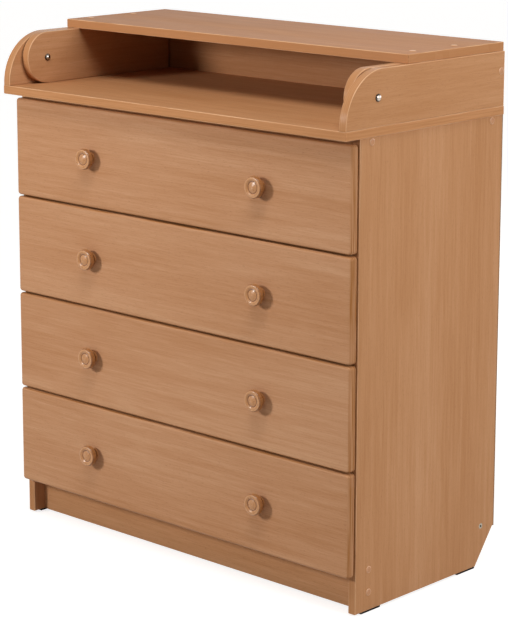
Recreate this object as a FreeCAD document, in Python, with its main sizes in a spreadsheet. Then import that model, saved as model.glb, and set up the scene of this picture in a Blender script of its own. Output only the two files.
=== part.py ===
import FreeCAD, Part

import math
import os
import re

import Sketcher

# A nursery dresser of laminated boards: four drawers on roller runners, and on top a
# tray whose lid flips forward on two arms to make a changing table twice as deep.
# +X is the dresser's right as one faces it, -Y its front, +Z up. The origin is on the
# floor, under the middle of the whole outline.

DRAWERS = 4          # drawer 1 is the top one
BACK_NAILS_TALL = 7  # nails down each side of the back panel
BACK_NAILS_WIDE = 5  # nails along its top and its bottom

SIZES = {
    # carcass boards
    "board": 16.0,
    "carcass_width": 830.0,
    "side_depth": 384.0,
    "side_height": 817.0,
    "skirting_run": 51.0,
    "skirting_rise": 68.0,
    "plinth_height": 65.0,
    "plinth_setback": 26.0,
    "top_rail_width": 60.0,
    "back_thickness": 3.0,
    "back_inset": 1.0,
    "edge_round": 1.5,
    # glides under the sides
    "glide_height": 4.0,
    "glide_length": 50.0,
    "glide_width": 14.0,
    "glide_setback": 17.0,
    "glide_rear_gap": 1.0,
    "glide_round": 2.0,
    "peg_radius": 2.5,
    "peg_length": 10.0,
    # tray on top of the carcass
    "tray_side_lap": 4.0,
    "tray_front_lap": 40.0,
    "tray_rear_inset": 2.0,
    "cheek_height": 96.0,
    "cheek_round": 92.0,
    "back_rail_inset": 2.0,
    # flip lid
    "lid_side_inset": 2.5,
    "lid_rear_inset": 1.5,
    "flip_gap": 1.0,
    "arm_floor_gap": 0.4,
    "arm_swing_gap": 1.5,
    "arm_side_gap": 2.0,
    "pivot_setback": 79.0,
    # pivot bolts
    "sleeve_radius": 4.0,
    "bolt_radius": 2.5,
    "bolt_length": 18.0,
    "bolt_head_radius": 6.5,
    "bolt_head_height": 4.0,
    "bolt_head_edge": 1.2,
    "bolt_key": 2.4,
    "bolt_key_depth": 2.2,
    "bolt_bore_spare": 1.0,
    "pivot_clearance": 0.3,
    "washer_radius": 9.0,
    "washer_gap": 0.2,
    # drawer fronts and knobs
    "front_gap": 1.5,
    "front_inset": 2.5,
    "front_rise": 2.0,
    "front_spacing": 3.0,
    "top_gap": 9.0,
    "front_round": 5.0,
    "front_corner": 6.0,
    "knob_height": 21.0,
    "knob_radius": 19.0,
    "knob_foot_radius": 11.5,
    "knob_foot_height": 2.0,
    "knob_neck_radius": 8.5,
    "knob_neck_low": 3.5,
    "knob_neck_high": 6.0,
    "knob_neck_round": 1.5,
    "knob_rim_low": 11.0,
    "knob_rim_round": 2.5,
    "knob_bead_round": 2.5,
    "knob_ring_radius": 10.2,
    "knob_ring_width": 3.2,
    "knob_ring_depth": 2.0,
    "knob_spacing": 420.0,
    "knob_screw_radius": 2.0,
    "knob_screw_grip": 12.0,
    "knob_head_radius": 4.2,
    "knob_head_height": 2.4,
    # drawer boxes
    "box_lift": 26.0,
    "box_headroom": 37.0,
    "box_rear_space": 39.0,
    "groove_lift": 10.0,
    "groove_depth": 6.0,
    "base_thickness": 3.0,
    "cam_radius": 7.5,
    "cam_depth": 12.5,
    "cam_setback": 34.0,
    "cam_bolt_radius": 3.0,
    "cam_bolt_grip": 11.0,
    "cam_bolt_stop": 3.0,
    "cam_slot_width": 1.6,
    "cam_slot_length": 9.0,
    "cam_slot_depth": 1.5,
    "cam_rise_low": 40.0,
    "cam_rise_high": 95.0,
    "groove_slack": 0.5,
    "base_nail_span": 500.0,
    # roller runners
    "runner_gap": 12.5,
    "runner_steel": 1.2,
    "runner_drop": 8.0,
    "runner_front_gap": 2.0,
    "runner_rear_reach": 6.0,
    "runner_slack": 0.8,
    "roller_radius": 9.7,
    "roller_width": 7.0,
    "roller_clearance": 0.3,
    "roller_setback": 13.0,
    "axle_radius": 3.0,
    "axle_head_radius": 4.5,
    "axle_head_thickness": 0.6,
    # screws, nails and caps
    "fit_gap": 0.05,
    "confirmat_length": 50.0,
    "confirmat_head_radius": 5.0,
    "confirmat_head_height": 3.0,
    "confirmat_shank_radius": 3.5,
    "confirmat_core_radius": 2.6,
    "confirmat_key": 2.3,
    "confirmat_key_depth": 3.5,
    "cap_radius": 6.25,
    "cap_edge": 0.5,
    "cap_height": 1.3,
    "cap_bevel": 1.4,
    "cap_stub_radius": 1.7,
    "cap_stub_length": 2.5,
    "wood_screw_length": 13.0,
    "wood_screw_head_radius": 3.8,
    "wood_screw_head_height": 2.0,
    "wood_screw_radius": 1.9,
    "rail_screw_length": 28.0,
    "nail_length": 20.0,
    "nail_radius": 1.0,
    "nail_head_radius": 2.4,
    "nail_head_height": 0.8,
    # where the screws sit
    "bottom_screw_rear": 37.0,
    "runner_screw_front": 37.0,
    "runner_screw_pitch": 224.0,
    "cheek_screw_inset": 60.0,
    "back_rail_screw_rise": 62.0,
    "back_rail_screw_span": 400.0,
    "rail_screw_span": 500.0,
    "lid_screw_front": 40.0,
    "lid_screw_pitch": 112.0,
    "nail_margin": 40.0,
}

# Places and sizes that follow from the ones above.
FORMULAS = {
    # heights
    "side_top": "glide_height + side_height",
    "plinth_top": "glide_height + plinth_height",
    "top_rail_low": "side_top - board",
    "tray_top": "side_top + board",
    "cheek_top": "tray_top + cheek_height",
    "arm_height": "cheek_height - arm_floor_gap",
    "pivot_z": "cheek_top - arm_height / 2",
    "cheek_nose": "min(cheek_round; cheek_height - 2 * edge_round)",
    # depths
    "front_reach": "max(tray_front_lap; knob_height + board + front_gap)",
    "front_y": "(front_reach - side_depth - back_thickness) / 2",
    "rear_y": "front_y + side_depth",
    "plinth_mid": "front_y + plinth_setback + board / 2",
    "box_front": "front_y - front_gap",
    "face_y": "box_front - board",
    "box_rear": "rear_y - box_rear_space",
    "tray_front": "front_y - tray_front_lap",
    "tray_rear": "rear_y - tray_rear_inset",
    "back_rail_front": "tray_rear - back_rail_inset - board",
    "pivot_y": "tray_front + pivot_setback",
    "lid_front": "2 * pivot_y - tray_front + flip_gap",
    "lid_rear": "tray_rear - lid_rear_inset",
    "arm_reach": "sqrt(pow(back_rail_front - pivot_y - arm_swing_gap; 2) - pow(arm_height / 2; 2))",
    "glide_rear_front": "rear_y - skirting_run - glide_rear_gap - glide_length",
    # half widths
    "side_out": "carcass_width / 2",
    "side_in": "side_out - board",
    "side_mid": "side_out - board / 2",
    "tray_out": "side_out + tray_side_lap",
    "cheek_mid": "tray_out - board / 2",
    "cheek_in": "tray_out - board",
    "arm_out": "cheek_in - arm_side_gap",
    "arm_mid": "arm_out - board / 2",
    "arm_in": "arm_out - board",
    "box_out": "side_in - runner_gap",
    "box_in": "box_out - board",
    # drawers
    "front_low": "plinth_top + front_rise",
    "front_height": f"(side_top - top_gap - front_low - {DRAWERS - 1} * front_spacing) / {DRAWERS}",
    "box_height": "front_height - box_lift - box_headroom",
    "knob_x": "knob_spacing / 2",
    "knob_bead_radius": "knob_ring_radius + knob_ring_width",
    "knob_bead_top_round": "min(knob_bead_round; (knob_radius - knob_bead_radius) / 2)",
    "front_edge_round": "min(front_round; board - 2 * edge_round)",
    # runners, from the cabinet rail's underside up
    "flange_low": "runner_steel + roller_clearance + 2 * roller_radius + runner_slack",
    "rail_height": "flange_low + 2 * runner_steel + runner_slack",
    "rail_tip": "box_out + runner_steel + runner_slack",
    "rear_axle_rise": "runner_steel + roller_clearance + roller_radius",
    "front_axle_rise": "flange_low - roller_clearance - roller_radius",
    "sleeve_length": "2 * board + arm_side_gap + pivot_clearance",
}

PLANE_AXES = {"YZ_Plane": "x", "XZ_Plane": "y", "XY_Plane": "z"}
TOUCH = 1e-4  # how near two places count as one
LEFT, RIGHT = -1, 1
SIDES = {"left": LEFT, "right": RIGHT}

doc = FreeCAD.newDocument("ChangingDresser")
sheet = doc.addObject("Spreadsheet::Sheet", "Sizes")
for row, (alias, size) in enumerate(SIZES.items(), start=1):
    sheet.set(f"A{row}", alias)
    sheet.set(f"B{row}", str(size))
    sheet.setAlias(f"B{row}", alias)
doc.recompute()


# ---- formulas -------------------------------------------------------------------

def formula(text):
    """Turn a formula in plain names into one that points at the sheet's cells."""
    def swap(match):
        word = match.group(0)
        if word in FORMULAS:
            return "(" + formula(FORMULAS[word]) + ")"
        return "Sizes." + word if word in SIZES else word
    return re.sub(r"[a-z_]+", swap, str(text))


def bind(thing, prop, text):
    thing.setExpression(prop, formula(text))


def number(text):
    return float(sheet.evalExpression(formula(text)))


def place(thing, at, prop="Placement"):
    """Bind where a thing stands to three formulas."""
    for axis, text in zip("xyz", at):
        bind(thing, f"{prop}.Base.{axis}", text)


# ---- sketches and bodies --------------------------------------------------------

def new_sketch(body, plane):
    sketch = body.newObject("Sketcher::SketchObject", body.Label + "_sketch")
    support = [item for item in body.Origin.OriginFeatures if item.Role == plane]
    sketch.AttachmentSupport = [(support[0], "")]
    sketch.MapMode = "FlatFace"
    return sketch


def dome_arc(rim, crown):
    """An arc from a rim point to a crown point on the vertical axis, centred on that axis."""
    rise = crown[1] - rim[1]
    centre = crown[1] - (rim[0] ** 2 + rise ** 2) / (2 * rise)
    circle = Part.Circle(FreeCAD.Vector(0, centre, 0), FreeCAD.Vector(0, 0, 1),
                         abs(crown[1] - centre))
    turns = sorted([math.atan2(rim[1] - centre, rim[0]), math.copysign(math.pi / 2, rise)])
    return Part.ArcOfCircle(circle, *turns)


def draw_outline(sketch, outline, domed=False):
    """A closed outline with every corner tied to its pair of formulas.

    When domed, the edge before the last corner is an arc that ends on the axis.
    """
    points = [(number(x), number(y)) for x, y in outline]
    count = len(points)
    arc = count - 2 if domed else None
    for index in range(count):
        first, second = points[index], points[(index + 1) % count]
        if index == arc:
            sketch.addGeometry(dome_arc(first, second), False)
        else:
            ends = [FreeCAD.Vector(x, y, 0) for x, y in (first, second)]
            sketch.addGeometry(Part.LineSegment(*ends), False)
    # Arcs run anticlockwise, so a dome that hangs down holds its ends the other way round.
    hangs = domed and points[-1][1] < points[-2][1]
    start = [2 if index == arc and hangs else 1 for index in range(count)]
    for index in range(count):
        after = (index + 1) % count
        meet = Sketcher.Constraint("Coincident", index, 3 - start[index], after, start[after])
        sketch.addConstraint(meet)
    for index, (point, texts) in enumerate(zip(points, outline)):
        for kind, along, text in zip(("DistanceX", "DistanceY"), point, texts):
            tie = Sketcher.Constraint(kind, -1, 1, index, start[index], along)
            name = f"{kind}_{index}"
            sketch.renameConstraint(sketch.addConstraint(tie), name)
            bind(sketch, f"Constraints.{name}", text)
    if domed:
        sketch.addConstraint(Sketcher.Constraint("PointOnObject", arc, 3, -2))


def panel(label, plane, outline, low, thickness="board"):
    """A board: an outline in one plane, padded from its low face towards plus."""
    body = doc.addObject("PartDesign::Body", label)
    sketch = new_sketch(body, plane)
    draw_outline(sketch, outline)
    pad = body.newObject("PartDesign::Pad", label + "_pad")
    pad.Profile = sketch
    pad.Reversed = plane == "XZ_Plane"
    bind(pad, "Length", thickness)
    bind(body, "Placement.Base." + PLANE_AXES[plane], low)
    doc.recompute()
    return body


def rectangle(low_x, low_y, high_x, high_y):
    return [(low_x, low_y), (high_x, low_y), (high_x, high_y), (low_x, high_y)]


def turned(label, outline, domed=False):
    """A piece turned about Z: outline corners are (radius, height)."""
    body = doc.addObject("PartDesign::Body", label)
    sketch = new_sketch(body, "XZ_Plane")
    draw_outline(sketch, outline, domed)
    turn = body.newObject("PartDesign::Revolution", label + "_turn")
    turn.Profile = sketch
    turn.ReferenceAxis = (sketch, ["V_Axis"])
    turn.Angle = 360
    doc.recompute()
    return body


def round_edges(body, radius, wanted):
    """Fillet the edges of a body's last feature whose two ends pass a test."""
    base = body.Tip
    names = []
    for index, edge in enumerate(base.Shape.Edges, start=1):
        if wanted(edge.valueAt(edge.FirstParameter), edge.valueAt(edge.LastParameter)):
            names.append(f"Edge{index}")
    fillet = body.newObject("PartDesign::Fillet", body.Label + "_round")
    fillet.Base = (base, names)
    bind(fillet, "Radius", radius)
    doc.recompute()


def lies_at(axis, value):
    """A test that passes an edge with both ends at one value along an axis."""
    def test(first, second):
        return all(abs(getattr(end, axis) - value) < TOUCH for end in (first, second))
    return test


def ease(body, axis):
    """Ease both long outlines of a board, on the two faces square to an axis."""
    low, high = lies_at(axis, 0), lies_at(axis, number("board"))
    round_edges(body, "edge_round", lambda *ends: low(*ends) or high(*ends))


# ---- primitives, copies and cuts ------------------------------------------------

def cylinder(label, radius, length, at, direction):
    rod = doc.addObject("Part::Cylinder", label)
    bind(rod, "Radius", radius)
    bind(rod, "Height", length)
    rod.Placement.Rotation = FreeCAD.Rotation(FreeCAD.Vector(0, 0, 1), FreeCAD.Vector(*direction))
    place(rod, at)
    return rod


def box(label, low, size):
    block = doc.addObject("Part::Box", label)
    for prop, text in zip(("Length", "Width", "Height"), size):
        bind(block, prop, text)
    place(block, low)
    return block


def copies(master, spots):
    """One copy of a master for each spot, a place and the way its own Z points."""
    made = []
    for at, direction in spots:
        copy = doc.addObject("App::Link", master.Label + "_copy")
        copy.LinkedObject = master
        copy.LinkTransform = True
        turn = FreeCAD.Rotation(FreeCAD.Vector(0, 0, 1), FreeCAD.Vector(*direction))
        copy.LinkPlacement = FreeCAD.Placement(FreeCAD.Vector(0, 0, 0), turn)
        place(copy, at, "LinkPlacement")
        made.append(copy)
    return made


def group(label, things):
    gathered = doc.addObject("Part::Compound", label)
    gathered.Links = things
    return gathered


def cut(label, base, tools):
    carved = doc.addObject("Part::Cut", label)
    carved.Base = base
    carved.Tool = group(label + "_tools", tools)
    return carved


def fuse(label, things):
    joined = doc.addObject("Part::MultiFuse", label)
    joined.Shapes = things
    return joined


def hexagon_cut(label, base, circle, depth, low):
    """Cut a six-sided key socket that opens at a height, into a turned piece."""
    key = doc.addObject("Part::Prism", label + "_key")
    key.Polygon = 6
    bind(key, "Circumradius", circle)
    bind(key, "Height", depth)
    bind(key, "Placement.Base.z", low)
    return cut(label, base, [key])


# ---- fasteners: each kind is one master, and one tool that bores its hole --------

def screw_outline(head, head_height, shank, grip, core, length, spare="0"):
    """Half the outline of a countersunk screw that points along plus Z."""
    return [
        ("0", "0"),
        (f"{head} + {spare}", "0"),
        (f"{shank} + {spare}", head_height),
        (f"{shank} + {spare}", f"{grip} + {spare}"),
        (f"{core} + {spare}", f"{grip} + {spare}"),
        (f"{core} + {spare}", f"{length} - {core}"),
        ("0", f"{length} + {spare}"),
    ]


CONFIRMAT = ("confirmat_head_radius", "confirmat_head_height", "confirmat_shank_radius",
             "board", "confirmat_core_radius", "confirmat_length")
confirmat_blank = turned("confirmat_blank", screw_outline(*CONFIRMAT))
confirmat = hexagon_cut("confirmat", confirmat_blank, "confirmat_key", "confirmat_key_depth", "0")
confirmat_bore = turned("confirmat_bore", screw_outline(*CONFIRMAT, spare="fit_gap"))


def plain_screw_outline(length, spare="0"):
    return [
        ("0", "0"),
        (f"wood_screw_head_radius + {spare}", "0"),
        (f"wood_screw_radius + {spare}", "wood_screw_head_height"),
        (f"wood_screw_radius + {spare}", f"{length} - wood_screw_radius"),
        ("0", f"{length} + {spare}"),
    ]


wood_screw = turned("wood_screw", plain_screw_outline("wood_screw_length"))
wood_screw_bore = turned("wood_screw_bore", plain_screw_outline("wood_screw_length", "fit_gap"))
rail_screw = turned("rail_screw", plain_screw_outline("rail_screw_length"))
rail_screw_bore = turned("rail_screw_bore", plain_screw_outline("rail_screw_length", "fit_gap"))


def nail_outline(spare="0"):
    return [
        ("0", "0"),
        (f"nail_head_radius + {spare}", "0"),
        (f"nail_head_radius + {spare}", f"nail_head_height + {spare}"),
        (f"nail_radius + {spare}", f"nail_head_height + {spare}"),
        (f"nail_radius + {spare}", "nail_length - 2 * nail_radius"),
        ("0", f"nail_length + {spare}"),
    ]


nail = turned("nail", nail_outline())
nail_bore = turned("nail_bore", nail_outline("fit_gap"))

cap = turned("cap", [
    ("0", "-cap_stub_length"),
    ("cap_stub_radius", "-cap_stub_length"),
    ("cap_stub_radius", "0"),
    ("cap_radius", "0"),
    ("cap_radius", "cap_edge"),
    ("cap_radius - cap_bevel", "cap_height"),
    ("0", "cap_height"),
])

UP, DOWN = (0, 0, 1), (0, 0, -1)
FORWARD, BACKWARD = (0, -1, 0), (0, 1, 0)


def outward(side):
    return (side, 0, 0)


def inward(side):
    return (-side, 0, 0)


# Where the long screws enter the outside of one side panel: (y, z) formulas.
SIDE_SCREWS = {
    "top_front": ("front_y + top_rail_width / 2", "side_top - board / 2"),
    "top_rear": ("rear_y - top_rail_width / 2", "side_top - board / 2"),
    "bottom_front": ("plinth_mid", "plinth_top + board / 2"),
    "bottom_rear": ("rear_y - bottom_screw_rear", "plinth_top + board / 2"),
    "plinth": ("plinth_mid", "glide_height + plinth_height / 2"),
}
BARE_SCREW = "bottom_rear"  # the one that has no cap


def side_spots(side, names, direction):
    return [((f"{side} * side_out", *SIDE_SCREWS[name]), direction) for name in names]


def all_side_bores(*names):
    """The bores of the named screws, on both sides."""
    spots = []
    for side in SIDES.values():
        spots += side_spots(side, names, inward(side))
    return copies(confirmat_bore, spots)


def rail_end_spot(side, direction):
    """The screw through a cheek into the end of the tray's back rail."""
    at = (f"{side} * tray_out", "back_rail_front + board / 2", "tray_top + back_rail_screw_rise")
    return at, direction


def cheek_spots(side):
    """Screws up through the tray board into one cheek."""
    x = f"{side} * cheek_mid"
    ends = ("tray_front + cheek_screw_inset", "tray_rear - cheek_screw_inset")
    return [((x, y, "side_top"), UP) for y in ends]


BACK_RAIL_SPOTS = [
    ((f"{side} * back_rail_screw_span / 2", "back_rail_front + board / 2", "side_top"), UP)
    for side in SIDES.values()
]


def rail_screw_spots(rail_mid):
    """Screws up through a top rail into the tray board."""
    return [
        ((f"{side} * rail_screw_span / 2", rail_mid, "top_rail_low"), UP)
        for side in SIDES.values()
    ]


RAIL_MIDS = {"front": SIDE_SCREWS["top_front"][0], "rear": SIDE_SCREWS["top_rear"][0]}


def lid_spots(side, height, direction):
    """Screws down through the lid into one arm."""
    x = f"{side} * arm_mid"
    rows = ("lid_front + lid_screw_front", "lid_front + lid_screw_front + lid_screw_pitch")
    return [((x, y, height), direction) for y in rows]


def front_bottom(drawer):
    """Height of the lower edge of a drawer's front."""
    below = DRAWERS - drawer
    return f"(front_low + {below} * (front_height + front_spacing))"


def box_low(drawer):
    return f"({front_bottom(drawer)} + box_lift)"


def rail_low(drawer):
    return f"({box_low(drawer)} - runner_drop)"


ALL_DRAWERS = range(1, DRAWERS + 1)


def cabinet_screw_spots(side, drawer):
    x = f"{side} * (side_in - runner_steel)"
    z = f"{rail_low(drawer)} + rail_height / 2"
    rows = ("front_y + runner_screw_front", "front_y + runner_screw_front + runner_screw_pitch")
    return [((x, y, z), outward(side)) for y in rows]


def spaced(low, high, count, index):
    return f"({low}) + (({high}) - ({low})) * {index} / {count - 1}"


BACK_LOW, BACK_HIGH = "plinth_top", "side_top"
BACK_NAIL_Y = "rear_y + back_thickness"


def side_nail_spots(side):
    low, high = f"{BACK_LOW} + nail_margin", f"{BACK_HIGH} - nail_margin"
    return [
        ((f"{side} * side_mid", BACK_NAIL_Y, spaced(low, high, BACK_NAILS_TALL, index)), FORWARD)
        for index in range(BACK_NAILS_TALL)
    ]


def row_nail_spots(height):
    low, high = "-side_in + nail_margin", "side_in - nail_margin"
    return [
        ((spaced(low, high, BACK_NAILS_WIDE, index), BACK_NAIL_Y, height), FORWARD)
        for index in range(BACK_NAILS_WIDE)
    ]


BOTTOM_NAILS = row_nail_spots("plinth_top + board / 2")
TOP_NAILS = row_nail_spots("side_top - board / 2")
GLIDE_FRONTS = ("front_y + glide_setback", "glide_rear_front")


def glide_spots(side):
    return [((f"{side} * side_mid", y, "glide_height"), UP) for y in GLIDE_FRONTS]


NODES = {}


def keep(label, thing):
    """Give a finished piece its node name."""
    thing.Label = label
    NODES[label] = thing


# ---- carcass --------------------------------------------------------------------

def make_side_panel(name, side):
    low = "side_in" if side == RIGHT else "-side_out"
    outline = [
        ("front_y", "glide_height"),
        ("rear_y - skirting_run", "glide_height"),
        ("rear_y", "glide_height + skirting_rise"),
        ("rear_y", "side_top"),
        ("front_y", "side_top"),
    ]
    blank = panel(f"side_blank_{name}", "YZ_Plane", outline, low)
    ease(blank, "x")
    bores = copies(confirmat_bore, side_spots(side, SIDE_SCREWS, inward(side)))
    for drawer in ALL_DRAWERS:
        bores += copies(wood_screw_bore, cabinet_screw_spots(side, drawer))
    bores += copies(nail_bore, side_nail_spots(side))
    for (x, y, z), direction in glide_spots(side):
        centre = (x, f"{y} + glide_length / 2", z)
        bores.append(cylinder("peg_hole", "peg_radius + fit_gap", "peg_length + fit_gap",
                              centre, direction))
    keep(f"side_panel_{name}", cut(f"side_panel_{name}", blank, bores))


def make_carcass():
    for name, side in SIDES.items():
        make_side_panel(name, side)

    bottom = panel("bottom_blank", "XY_Plane",
                   rectangle("-side_in", "front_y", "side_in", "rear_y"), "plinth_top")
    bores = all_side_bores("bottom_front", "bottom_rear") + copies(nail_bore, BOTTOM_NAILS)
    keep("bottom_panel", cut("bottom_panel", bottom, bores))

    plinth = panel("plinth_blank", "XZ_Plane",
                   rectangle("-side_in", "glide_height", "side_in", "plinth_top"),
                   "front_y + plinth_setback")
    keep("plinth_front", cut("plinth_front", plinth, all_side_bores("plinth")))

    rails = []
    for name, mid in RAIL_MIDS.items():
        outline = rectangle("-side_in", f"{mid} - top_rail_width / 2",
                            "side_in", f"{mid} + top_rail_width / 2")
        blank = panel(f"top_rail_blank_{name}", "XY_Plane", outline, "top_rail_low")
        bores = all_side_bores(f"top_{name}") + copies(rail_screw_bore, rail_screw_spots(mid))
        if name == "rear":
            bores += copies(nail_bore, TOP_NAILS)
        rails.append(cut(f"top_rail_{name}", blank, bores))
    keep("top_rails", group("top_rails", rails))

    back = panel("back_blank", "XZ_Plane",
                 rectangle("-side_out + back_inset", BACK_LOW, "side_out - back_inset", BACK_HIGH),
                 "rear_y", "back_thickness")
    nail_spots = BOTTOM_NAILS + TOP_NAILS
    for side in SIDES.values():
        nail_spots = nail_spots + side_nail_spots(side)
    keep("back_panel", cut("back_panel", back, copies(nail_bore, nail_spots)))
    keep("back_panel_nails", group("back_panel_nails", copies(nail, nail_spots)))


def make_glides():
    """Hard plastic glides, each held by a peg in the panel's lower edge."""
    outline = rectangle("-glide_width / 2", "0", "glide_width / 2", "glide_length")
    pad = panel("glide_pad", "XY_Plane", outline, "-glide_height", "glide_height")
    round_edges(pad, "glide_round", lies_at("z", 0))
    peg = cylinder("glide_peg", "peg_radius", "peg_length", ("0", "glide_length / 2", "0"), UP)
    glide = fuse("glide", [pad, peg])
    spots = [spot for side in SIDES.values() for spot in glide_spots(side)]
    keep("glides", group("glides", copies(glide, spots)))


def make_carcass_screws():
    screws, caps = [], []
    for side in SIDES.values():
        screws += side_spots(side, SIDE_SCREWS, inward(side)) + [rail_end_spot(side, inward(side))]
        capped = [name for name in SIDE_SCREWS if name != BARE_SCREW]
        caps += side_spots(side, capped, outward(side)) + [rail_end_spot(side, outward(side))]
    keep("confirmat_screws", group("confirmat_screws", copies(confirmat, screws)))
    keep("screw_caps", group("screw_caps", copies(cap, caps)))


# ---- roller runners -------------------------------------------------------------

def cabinet_rail_outline(side, low):
    """A steel channel that opens towards the drawer: (x, z) corners."""
    wall, tip = f"{side} * side_in", f"{side} * rail_tip"
    web = f"{side} * (side_in - runner_steel)"
    floor, roof = f"{low} + runner_steel", f"{low} + rail_height - runner_steel"
    top = f"{low} + rail_height"
    return [(wall, low), (tip, low), (tip, floor), (web, floor),
            (web, roof), (tip, roof), (tip, top), (wall, top)]


def drawer_rail_outline(side, low, box):
    """An angle under the drawer's side with a running flange: (x, z) corners."""
    outer, inner = f"{side} * (box_out + runner_steel)", f"{side} * box_out"
    under, tip = f"{side} * box_in", f"{side} * (side_in - runner_steel - runner_slack)"
    run, run_top = f"{low} + flange_low", f"{low} + flange_low + runner_steel"
    foot = f"{box} - runner_steel"
    return [(under, foot), (outer, foot), (outer, run), (tip, run),
            (tip, run_top), (inner, run_top), (inner, box), (under, box)]


FRONT_AXLE_Y = "(front_y + runner_front_gap + roller_setback)"
REAR_AXLE_Y = "(box_rear - roller_setback)"


def axle(label, start, y, z, direction):
    """A riveted axle: a pin a little longer than its roller, then a thin head."""
    length = "roller_width + 4 * fit_gap"
    pin = cylinder(f"{label}_pin", "axle_radius", length, (start, y, z), direction)
    end = f"{start} + {direction[0]} * ({length})"
    head = cylinder(f"{label}_head", "axle_head_radius", "axle_head_thickness",
                    (end, y, z), direction)
    return [pin, head]


def roller(label, x, y, z, direction):
    """A hard plastic wheel with a running fit on its axle."""
    wheel = cylinder(f"{label}_wheel", "roller_radius", "roller_width", (x, y, z), direction)
    bore = cylinder(f"{label}_bore", "axle_radius + fit_gap", "roller_width", (x, y, z), direction)
    return cut(label, wheel, [bore])


def make_cabinet_runners():
    rails, screws = [], []
    for drawer in ALL_DRAWERS:
        wheels = []
        low = rail_low(drawer)
        for name, side in SIDES.items():
            tag = f"cabinet_{drawer}_{name}"
            channel = panel(f"{tag}_channel", "XZ_Plane", cabinet_rail_outline(side, low),
                            "front_y + runner_front_gap",
                            "box_rear + runner_rear_reach - front_y - runner_front_gap")
            z = f"{low} + front_axle_rise"
            web = f"{side} * (side_in - runner_steel)"
            pieces = axle(tag, web, FRONT_AXLE_Y, z, inward(side))
            spots = cabinet_screw_spots(side, drawer)
            holed = cut(f"{tag}_holed", channel, copies(wood_screw_bore, spots))
            rails.append(fuse(f"{tag}_rail", [holed] + pieces))
            screws += spots
            gap = f"{side} * (side_in - runner_steel - 2 * fit_gap)"
            wheels.append(roller(f"{tag}_roller", gap, FRONT_AXLE_Y, z, inward(side)))
        keep(f"cabinet_rollers_{drawer}", group(f"cabinet_rollers_{drawer}", wheels))
    keep("cabinet_runners", group("cabinet_runners", rails))
    keep("cabinet_runner_screws", group("cabinet_runner_screws", copies(wood_screw, screws)))


# ---- tray and flip lid ----------------------------------------------------------

def pivot_hole(label, side, start, radius):
    return cylinder(label, radius, "board", (f"{side} * {start}", "pivot_y", "pivot_z"),
                    outward(side))


def make_tray():
    tray = panel("tray_blank", "XY_Plane",
                 rectangle("-tray_out", "tray_front", "tray_out", "tray_rear"), "side_top")
    ease(tray, "z")
    screws = cheek_spots(LEFT) + cheek_spots(RIGHT) + BACK_RAIL_SPOTS
    rail_screws = [spot for mid in RAIL_MIDS.values() for spot in rail_screw_spots(mid)]
    bores = copies(confirmat_bore, screws) + copies(rail_screw_bore, rail_screws)
    keep("tray_board", cut("tray_board", tray, bores))
    fixings = copies(confirmat, screws) + copies(rail_screw, rail_screws)
    keep("tray_screws", group("tray_screws", fixings))

    for name, side in SIDES.items():
        low = "cheek_in" if side == RIGHT else "-tray_out"
        outline = rectangle("tray_front", "tray_top", "tray_rear", "cheek_top")
        blank = panel(f"cheek_blank_{name}", "YZ_Plane", outline, low)
        front, top = lies_at("y", number("tray_front")), lies_at("z", number("cheek_top"))
        round_edges(blank, "cheek_nose", lambda *ends: front(*ends) and top(*ends))
        ease(blank, "x")
        bores = copies(confirmat_bore, cheek_spots(side) + [rail_end_spot(side, inward(side))])
        bores.append(pivot_hole(f"cheek_pivot_{name}", side, "cheek_in", "sleeve_radius + fit_gap"))
        keep(f"tray_cheek_{name}", cut(f"tray_cheek_{name}", blank, bores))

    rail = panel("back_rail_blank", "XZ_Plane",
                 rectangle("-cheek_in", "tray_top", "cheek_in", "cheek_top"), "back_rail_front")
    ends = [rail_end_spot(side, inward(side)) for side in SIDES.values()]
    keep("tray_back_rail", cut("tray_back_rail", rail,
                               copies(confirmat_bore, BACK_RAIL_SPOTS + ends)))


def make_lid():
    lid = panel("lid_blank", "XY_Plane",
                rectangle("-tray_out + lid_side_inset", "lid_front",
                          "tray_out - lid_side_inset", "lid_rear"), "cheek_top")
    ease(lid, "z")
    top = "cheek_top + board"
    screws = lid_spots(LEFT, top, DOWN) + lid_spots(RIGHT, top, DOWN)
    keep("lid_board", cut("lid_board", lid, copies(confirmat_bore, screws)))
    keep("lid_screws", group("lid_screws", copies(confirmat, screws)))
    caps = lid_spots(LEFT, top, UP) + lid_spots(RIGHT, top, UP)
    keep("lid_screw_caps", group("lid_screw_caps", copies(cap, caps)))

    for name, side in SIDES.items():
        low = "arm_in" if side == RIGHT else "-arm_out"
        outline = rectangle("pivot_y - arm_height / 2", "cheek_top - arm_height",
                            "pivot_y + arm_reach", "cheek_top")
        blank = panel(f"arm_blank_{name}", "YZ_Plane", outline, low)
        front = lies_at("y", number("pivot_y - arm_height / 2"))
        round_edges(blank, "arm_height / 2 - fit_gap",
                    lambda *ends: front(*ends) and abs(ends[0].z - ends[1].z) < TOUCH)
        ease(blank, "x")
        bores = copies(confirmat_bore, lid_spots(side, top, DOWN))
        bores.append(pivot_hole(f"arm_pivot_{name}", side, "arm_in", "sleeve_radius + fit_gap"))
        keep(f"lid_arm_{name}", cut(f"lid_arm_{name}", blank, bores))


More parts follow.
